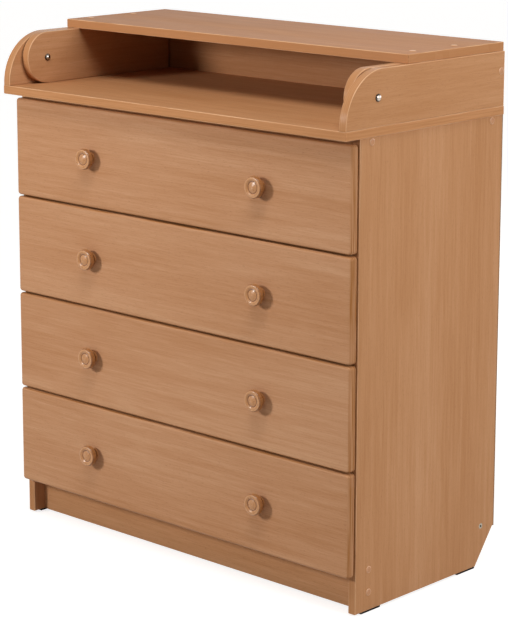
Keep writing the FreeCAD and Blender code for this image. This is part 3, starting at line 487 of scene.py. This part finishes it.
def hardboard(name, thin, papered_side):
    """Papered on one side of thin, 1 for its upper side or -1, and bare fibre on the other."""
    finish, tree, shader = new_finish(name)
    towards = reckon(tree, "MULTIPLY", coordinate(tree, "Normal", thin), papered_side)
    papered = ramp_between(tree, towards, *PAPER_SIDE)
    fibres = pattern(tree, even(FIBRES), offset=2.0, detail=5.0, distortion=1.2)
    stains = pattern(tree, even(STAINS), offset=5.0, detail=3.0)
    bare = blend(tree, fibres, colour(FIBRE_DARK), colour(FIBRE_PALE))
    stained = ramp_between(tree, stains, *STAINS_SHOW, 0.0, STAIN_SHARE)
    bare = blend(tree, stained, bare, colour(FIBRE_STAIN))
    streaks = pattern(tree, PAPER_STREAKS, offset=8.0, detail=3.0)
    paper = blend(tree, streaks, colour(PAPER_DARK), colour(PAPER_PALE))
    tree.links.new(blend(tree, papered, bare, paper), shader.inputs["Base Color"])
    rough = ramp_between(tree, papered, 0.0, 1.0, BARE_ROUGH, PAPER_ROUGH)
    tree.links.new(rough, shader.inputs["Roughness"])
    raise_surface(tree, shader, fibres, FIBRE_RELIEF)
    return finish


BASES = [f"drawer_{number}_base" for number in DRAWERS]
dress(["back_panel"], hardboard("hardboard_back", "Y", papered_side=-1.0))
dress(BASES, hardboard("hardboard_base", "Z", papered_side=1.0))
print(1 + len(BASES), "hardboard sheets are dressed")

# %% [markdown]
# ## Turned knobs
# The knobs are solid beech, turned on a lathe and lacquered. The lathe leaves faint rings
# round the axis, and the wood's own layers run through the knob from front to back. The ring
# that is cut round the face and the head's edge are painted darker, as painted shade, and the
# bead between them is painted paler, as a painted highlight. These bands could be painted on
# the mesh, but its faces are too large for that, so the shader works out how far each point
# lies from the knob's axis.

# %% Dress the knobs
WOOD_DARK = "A66E3D"
WOOD_PALE = "C48C58"
WOOD_PORE = "855A38"
PORE_SHARE = 0.45
PORES_SHOW = (0.6, 0.7)
WOOD_LAYERS = (420.0, 30.0, 160.0)
WOOD_PORES = (1700.0, 160.0, 1700.0)
LAYERS_SHIFT = 9.0  # each pair of knobs is cut from another place, by how far up it is
PORES_SHIFT = 5.0
LATHE_STEPS = 9000.0  # a ring about every 0.7 mm
# Each band's distance from the axis in metres, the half width where it is full, its strength
# and its tone. The cut ring and the head's edge are painted shade, the bead a painted highlight.
CUT_RING_PAINTED_SHADE = (0.0102, 0.0003, 0.85, "5A2E10")
HEAD_EDGE_PAINTED_SHADE = (0.0184, 0.0002, 0.6, "6E3E1A")
BEAD_PAINTED_HIGHLIGHT = (0.0162, 0.0002, 0.35, "DDAA7C")
BAND_HALF = 0.0009  # where every band has faded
LACQUER_ROUGH = (0.26, 0.36)
LACQUER_SHINE = 0.4
LACQUER_COAT = 0.2
LACQUER_COAT_ROUGH = 0.15
LATHE_RELIEF = 0.00002


def squared(tree, value):
    """A value times itself."""
    return reckon(tree, "POWER", value, 2.0)


def turned_beech(name, across, up):
    """Lacquered beech with lathe rings round an axis that is across from the middle and up."""
    finish, tree, shader = new_finish(name)
    aside = reckon(tree, "ABSOLUTE", coordinate(tree, "Object", "X"))
    sideways = reckon(tree, "SUBTRACT", aside, across)
    upward = reckon(tree, "SUBTRACT", coordinate(tree, "Object", "Z"), up)
    squares = reckon(tree, "ADD", squared(tree, sideways), squared(tree, upward))
    from_axis = reckon(tree, "SQRT", squares)
    lathe = reckon(tree, "SINE", reckon(tree, "MULTIPLY", from_axis, LATHE_STEPS))
    layers = pattern(tree, WOOD_LAYERS, up * LAYERS_SHIFT, detail=3.0, distortion=0.6)
    pores = pattern(tree, WOOD_PORES, up * PORES_SHIFT, detail=1.0)
    wood = blend(tree, layers, colour(WOOD_DARK), colour(WOOD_PALE))
    in_pore = ramp_between(tree, pores, *PORES_SHOW, 0.0, PORE_SHARE)
    wood = blend(tree, in_pore, wood, colour(WOOD_PORE))
    # the bands of painted shade and painted highlight round the knob's axis
    for radius, full, strength, tone in (CUT_RING_PAINTED_SHADE, HEAD_EDGE_PAINTED_SHADE, BEAD_PAINTED_HIGHLIGHT):
        away = reckon(tree, "ABSOLUTE", reckon(tree, "SUBTRACT", from_axis, radius))
        band = ramp_between(tree, away, full, BAND_HALF, strength, 0.0)
        wood = blend(tree, band, wood, colour(tone))
    tree.links.new(wood, shader.inputs["Base Color"])
    tree.links.new(ramp_between(tree, layers, *MOST, *LACQUER_ROUGH), shader.inputs["Roughness"])
    shader.inputs["Specular IOR Level"].default_value = LACQUER_SHINE
    shader.inputs["Coat Weight"].default_value = LACQUER_COAT
    shader.inputs["Coat Roughness"].default_value = LACQUER_COAT_ROUGH
    raise_surface(tree, shader, reckon(tree, "ADD", lathe, pores), LATHE_RELIEF)
    return finish


for number in DRAWERS:
    low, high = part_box(f"drawer_{number}_knobs")
    knob_radius = (high.z - low.z) / 2
    across = high.x - knob_radius
    up = (high.z + low.z) / 2
    dress([f"drawer_{number}_knobs"], turned_beech(f"turned_beech_{number}", across, up))
    print(f"drawer {number}: knobs {2000 * knob_radius:.0f} mm across, {across:.4f} out, {up:.3f} up")

# %% [markdown]
# ## Plastics
# Moulded plastic is never quite even: it has a faint mottle and a fine texture from the
# mould. The caps match the boards, the glides are black, and the rollers and washers are
# nylon. A cap could be one plain tone, but then it would be a flat dot on its board. So its rim
# is painted: paler on the side panels, as a painted highlight, and darker on the lid, as painted
# shade. The normal finds the rim, because it points along the cap's axis everywhere but on it.

# %% Dress the plastic pieces
# the side caps' paler rim is a painted highlight
SIDE_CAP_RIM_PAINTED_HIGHLIGHT = "E2B792"
OFF_RIM = (0.7, 0.98)  # where the normal leaves the rim
CAP_ROUGH = 0.42
MOTTLE = 90.0
MOULD_GRIT = 900.0
MOULD_RELIEF = 0.00002
GRIT_STEPS = (0.2, 0.8)
SMOOTHER = 0.06
ROUGHER = 0.08


def moulded(name, dark, pale, roughness, grit=MOULD_GRIT, relief=MOULD_RELIEF, shine=0.5,
            faces=None, painted_rim_light_and_shade=None):
    """Moulded plastic between two tones, and on a cap that faces along an axis a rim in a painted
    highlight or painted shade tone, as given.
    """
    finish, tree, shader = new_finish(name)
    mottle = pattern(tree, even(MOTTLE), offset=4.0, detail=3.0)
    texture = pattern(tree, even(grit), offset=1.0)
    plastic = blend(tree, mottle, colour(dark), colour(pale))
    if painted_rim_light_and_shade:
        off_rim = ramp_between(tree, facing(tree, faces), *OFF_RIM)
        plastic = blend(tree, off_rim, colour(painted_rim_light_and_shade), plastic)
    tree.links.new(plastic, shader.inputs["Base Color"])
    rough = ramp_between(tree, texture, *GRIT_STEPS, roughness - SMOOTHER, roughness + ROUGHER)
    tree.links.new(rough, shader.inputs["Roughness"])
    shader.inputs["Specular IOR Level"].default_value = shine
    raise_surface(tree, shader, texture, relief)
    return finish


ROLLERS = [f"cabinet_rollers_{number}" for number in DRAWERS]
ROLLERS += [f"drawer_{number}_rollers" for number in DRAWERS]
side_caps = moulded("cap_plastic", dark="AC7448", pale="BA845A", roughness=CAP_ROUGH,
                    faces="X", painted_rim_light_and_shade=SIDE_CAP_RIM_PAINTED_HIGHLIGHT)
# the lid caps' rim takes the edging's darker tone as painted shade
lid_caps = moulded("pale_cap_plastic", dark="CFA078", pale="DCB18C", roughness=CAP_ROUGH,
                   faces="Z", painted_rim_light_and_shade=EDGING)
black = moulded("glide_plastic", dark="120805", pale="1C0F0A", roughness=0.75, shine=0.08)
white_nylon = moulded("roller_nylon", dark="DEDAD0", pale="EDEAE2", roughness=0.38)
brown_nylon = moulded("washer_nylon", dark="3A2E26", pale="4A3D33", roughness=0.45)
dress(["screw_caps"], side_caps)
dress(["lid_screw_caps"], lid_caps)
dress(["glides"], black)
dress(ROLLERS, white_nylon)
dress(["pivot_washers"], brown_nylon)
print(len(ROLLERS), "sets of rollers, the caps, glides and washers are dressed")

# %% [markdown]
# ## Steel
# Three steels are used: runners in a cream powder coat, whose skin is pebbled like orange
# peel, screws and nails in dull zinc, and the pivot bolts in bright chrome. A powder coat
# hides its metal, so it is made as a plastic with a coarser relief. The chrome could be a
# plain mirror, but in a white room that is a white dot, so the rim of each bolt's head, which
# reflects the dark wood beside it, is darkened.

# %% Dress the steel pieces
PLATING_CLOUDS = 60.0
SCRATCHES = (1800.0, 200.0, 1800.0)
SCRATCH_RELIEF = 0.00001
# painted reflection of the dark wood on the bolt heads' rims
BOLT_RIM_PAINTED_REFLECTION = "2A1B12"
OFF_BOLT_RIM = (0.74, 0.93)
POWDER_GRIT = 1300.0
POWDER_RELIEF = 0.00006


def plated_steel(name, dark, pale, roughness, scratched, faces=None):
    """Plated steel with fine scratches, and a painted dark reflection on the rim of a head that faces
    along an axis.
    """
    finish, tree, shader = new_finish(name)
    shader.inputs["Metallic"].default_value = 1.0
    cloud = pattern(tree, even(PLATING_CLOUDS), offset=6.0, detail=3.0)
    scratches = pattern(tree, SCRATCHES, offset=2.0)
    metal = blend(tree, cloud, colour(dark), colour(pale))
    if faces:
        off_rim = ramp_between(tree, facing(tree, faces), *OFF_BOLT_RIM)
        metal = blend(tree, off_rim, colour(BOLT_RIM_PAINTED_REFLECTION), metal)
    tree.links.new(metal, shader.inputs["Base Color"])
    rough = ramp_between(tree, scratches, *MOST, roughness, roughness + scratched)
    tree.links.new(rough, shader.inputs["Roughness"])
    raise_surface(tree, shader, scratches, SCRATCH_RELIEF)
    return finish


ZINC = ["confirmat_screws", "cabinet_runner_screws", "back_panel_nails", "tray_screws"]
ZINC += ["lid_screws"] + [f"drawer_{number}_fasteners" for number in DRAWERS]
RUNNERS = ["cabinet_runners"] + [f"drawer_{number}_runners" for number in DRAWERS]
zinc = plated_steel("zinc_steel", dark="8E8679", pale="A9A193", roughness=0.36, scratched=0.16)
chrome = plated_steel("bolt_chrome", dark="A0958A", pale="C8BFB4", roughness=0.12,
                      scratched=0.08, faces="X")
powder = moulded("runner_powder_coat", dark="DDD6C6", pale="E9E3D6", roughness=0.48,
                 grit=POWDER_GRIT, relief=POWDER_RELIEF)
dress(ZINC, zinc)
dress(["pivot_bolts"], chrome)
dress(RUNNERS, powder)
print(len(ZINC), "sets of screws and nails,", len(RUNNERS), "sets of runners, the bolts are dressed")

# %% [markdown]
# ## The floor and the white background
# The photograph has no room round the dresser, only white. White could come from strong
# light, but that would bleach the dresser too. So a pale floor reaches past the picture's
# edges: for light that bounces off it, it is an ordinary pale floor, and for the camera it is
# lifted to white, a little more far away than near the dresser. The dresser's soft shadow is
# all that shows on it.

# %% Lay the floor
FLOOR_REACH = 40.0
FLOOR_SQUARES = 8
FLOOR_DARK = "ACA8A2"
FLOOR_PALE = "B2AEA9"
FLOOR_GRIT = 40.0
FLOOR_ROUGH = 0.8
NEAR = 1.2  # metres from the dresser's foot
FAR = 5.0
NEAR_LIFT = 0.77
FAR_LIFT = 0.86


def seen_by_camera(tree):
    """1 for what the camera sees, also mirrored or through glass, and 0 for bounced light."""
    path = tree.nodes.new("ShaderNodeLightPath")
    rays = reckon(tree, "MAXIMUM", path.outputs["Is Camera Ray"], path.outputs["Is Glossy Ray"])
    return reckon(tree, "MAXIMUM", rays, path.outputs["Is Transmission Ray"])


def floor_paper():
    """Pale studio paper that the camera sees as white, apart from the shadow on it."""
    finish, tree, shader = new_finish("floor_paper")
    grit = pattern(tree, even(FLOOR_GRIT), detail=3.0)
    paper = blend(tree, grit, colour(FLOOR_DARK), colour(FLOOR_PALE))
    tree.links.new(paper, shader.inputs["Base Color"])
    shader.inputs["Roughness"].default_value = FLOOR_ROUGH
    spot = tree.nodes.new("ShaderNodeTexCoord")
    from_foot = tree.nodes.new("ShaderNodeVectorMath")
    from_foot.operation = "LENGTH"
    tree.links.new(spot.outputs["Object"], from_foot.inputs[0])
    lift = ramp_between(tree, from_foot.outputs["Value"], NEAR, FAR, NEAR_LIFT, FAR_LIFT)
    glow = reckon(tree, "MULTIPLY", seen_by_camera(tree), lift)
    shader.inputs["Emission Color"].default_value = colour(WHITE)
    tree.links.new(glow, shader.inputs["Emission Strength"])
    return finish


floor_mesh = bpy.data.meshes.new("studio_floor")
shape = bmesh.new()
bmesh.ops.create_grid(shape, x_segments=FLOOR_SQUARES, y_segments=FLOOR_SQUARES, size=FLOOR_REACH)
shape.to_mesh(floor_mesh)
shape.free()
floor_mesh.materials.append(floor_paper())
floor = bpy.data.objects.new("studio_floor", floor_mesh)
bpy.context.scene.collection.objects.link(floor)
print("the floor reaches", FLOOR_REACH, "m each way")

# %% [markdown]
# ## Soft studio light
# One big lamp could light everything, but the photograph's shadows show several. A small one
# at the left front lights the drawer fronts. One on the right lights the side panel, and
# stands far enough back for the lid's edge to shade the left arm. A long one overhead lights
# the tray and the lid, and the one at the rear lights only the back, for views from behind.
# Each lamp's power is worked out from its distance, so its level is the share of full
# brightness that it gives to a surface that faces it.

# %% Set up the lamps
AIM = Vector((0.0, 0.0, 0.5))  # about the dresser's middle


def soft_lamp(name, place, wide, tall, level):
    """A flat lamp, aimed at the dresser, that gives a surface facing it this brightness."""
    lamp = bpy.data.lights.new(name, "AREA")
    lamp.shape = "RECTANGLE"
    lamp.size = wide
    lamp.size_y = tall
    away = Vector(place) - AIM
    lamp.energy = level * math.pi**2 * away.length_squared
    stand = bpy.data.objects.new(name, lamp)
    bpy.context.scene.collection.objects.link(stand)
    stand.location = place
    stand.rotation_euler = away.to_track_quat("Z", "Y").to_euler()
    print(f"{name}: {lamp.energy:.0f} W at {away.length:.1f} m")


soft_lamp("left_softbox", place=(-1.1, -2.5, 1.35), wide=0.5, tall=0.5, level=0.55)
soft_lamp("right_softbox", place=(3.1, 0.3, 1.6), wide=1.0, tall=1.0, level=0.47)
soft_lamp("overhead_softbox", place=(0.7, -0.95, 2.7), wide=1.8, tall=0.4, level=0.49)
soft_lamp("rear_softbox", place=(0.3, 3.4, 1.0), wide=1.6, tall=1.0, level=0.42)

# %% [markdown]
# ## The room
# A studio's white walls give a little light from everywhere, which fills the shadows under
# the lid and between the boards. Real walls could stand round the dresser, but they would
# hide it from other views. The world behind everything does the same: it is dim for the light
# that it gives, and white where the camera sees it.

# %% Put the dresser in a white room
ROOM_LEVEL = 0.12
SEEN_LEVEL = 1.0

room = bpy.data.worlds.new("studio_room")
bpy.context.scene.world = room
room.use_nodes = True
tree = room.node_tree
backdrop = tree.nodes["Background"]
backdrop.inputs["Color"].default_value = colour(WHITE)
level = ramp_between(tree, seen_by_camera(tree), 0.0, 1.0, ROOM_LEVEL, SEEN_LEVEL)
tree.links.new(level, backdrop.inputs["Strength"])
bpy.context.scene.view_settings.view_transform = "Standard"
print("the room gives", ROOM_LEVEL, "of full brightness and is seen at", SEEN_LEVEL)
